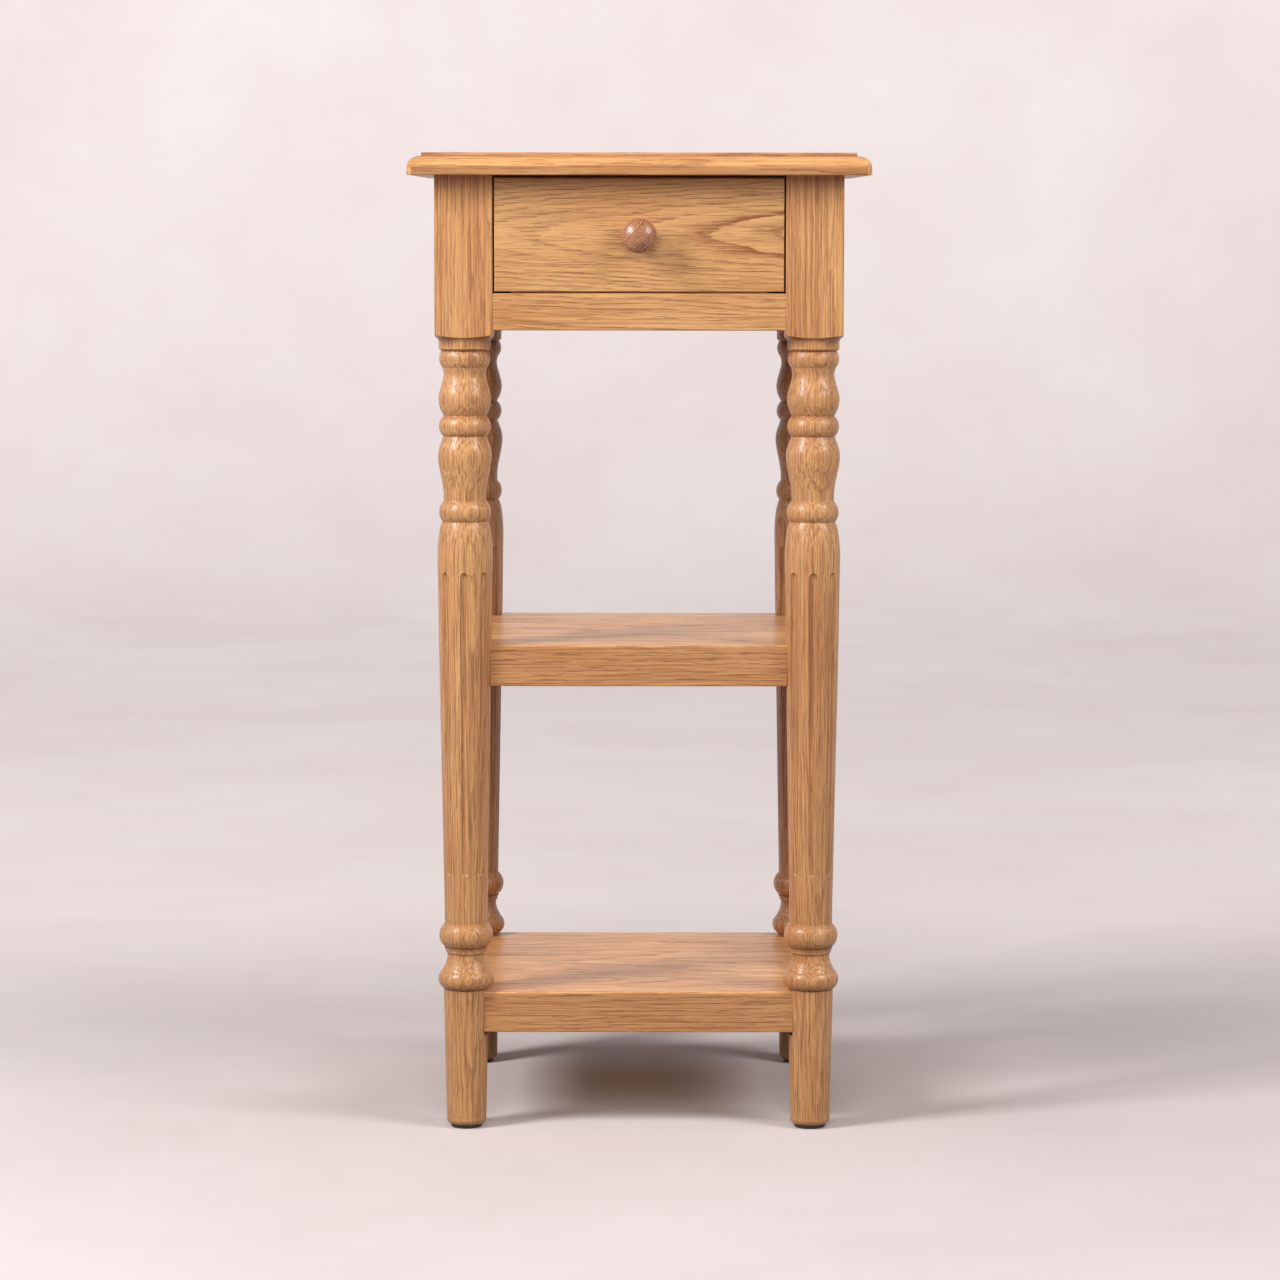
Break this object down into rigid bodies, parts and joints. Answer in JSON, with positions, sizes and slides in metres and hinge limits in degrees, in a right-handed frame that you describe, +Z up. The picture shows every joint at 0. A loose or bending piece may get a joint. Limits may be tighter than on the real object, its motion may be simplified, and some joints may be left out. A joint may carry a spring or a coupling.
{
  "type": "side table with drawer",
  "caption": "Slim square side table in light oak: moulded-edge top, knobbed drawer that slides forward, turned and fluted legs, and open shelves below.",
  "frame": {"origin": "on the floor, under the middle of the top", "axes": "+Z up; -Y towards the user, the way the drawer opens; +X to the right as seen from the front"},
  "size_m": [0.35, 0.3538, 0.75],
  "materials": {
    "oak": "light oak, satin lacquer",
    "knob_wood": "reddish oak, gloss lacquer",
    "inner_wood": "pale hardwood, thin matt lacquer",
    "panel_ply": "birch-faced plywood, matt",
    "dowel_wood": "beech dowel, raw",
    "glide_plastic": "black, matt",
    "steel": "zinc-plated steel"
  },
  "bodies": {
    "frame": {"apron_dowels": "dowel_wood", "back_apron": "oak", "drawer_guide_left": "inner_wood", "drawer_guide_right": "inner_wood", "drawer_kicker_left": "inner_wood", "drawer_kicker_right": "inner_wood", "drawer_runner_left": "inner_wood", "drawer_runner_right": "inner_wood", "drawer_stop_left": "inner_wood", "drawer_stop_right": "inner_wood", "foot_glide_back_left": "glide_plastic", "foot_glide_back_right": "glide_plastic", "foot_glide_front_left": "glide_plastic", "foot_glide_front_right": "glide_plastic", "front_lower_rail": "oak", "front_upper_rail": "oak", "glide_nails": "steel", "kicker_screws": "steel", "leg_back_left": "oak", "leg_back_right": "oak", "leg_front_left": "oak", "leg_front_right": "oak", "lower_shelf": "oak", "middle_shelf": "oak", "rail_dowels": "dowel_wood", "runner_screws": "steel", "shelf_dowels": "dowel_wood", "side_apron_left": "oak", "side_apron_right": "oak", "top_board": "oak", "top_screws": "steel"},
    "drawer": {"drawer_back": "inner_wood", "drawer_bottom": "panel_ply", "drawer_bottom_screws": "steel", "drawer_front": "oak", "drawer_knob": "knob_wood", "drawer_side_left": "inner_wood", "drawer_side_right": "inner_wood", "knob_screw": "steel"}
  },
  "joints": [
    {"name": "drawer_slide", "type": "slide", "parent": "frame", "child": "drawer", "axis": [0, -1, 0], "range_m": [0, 0.2]}
  ]
}
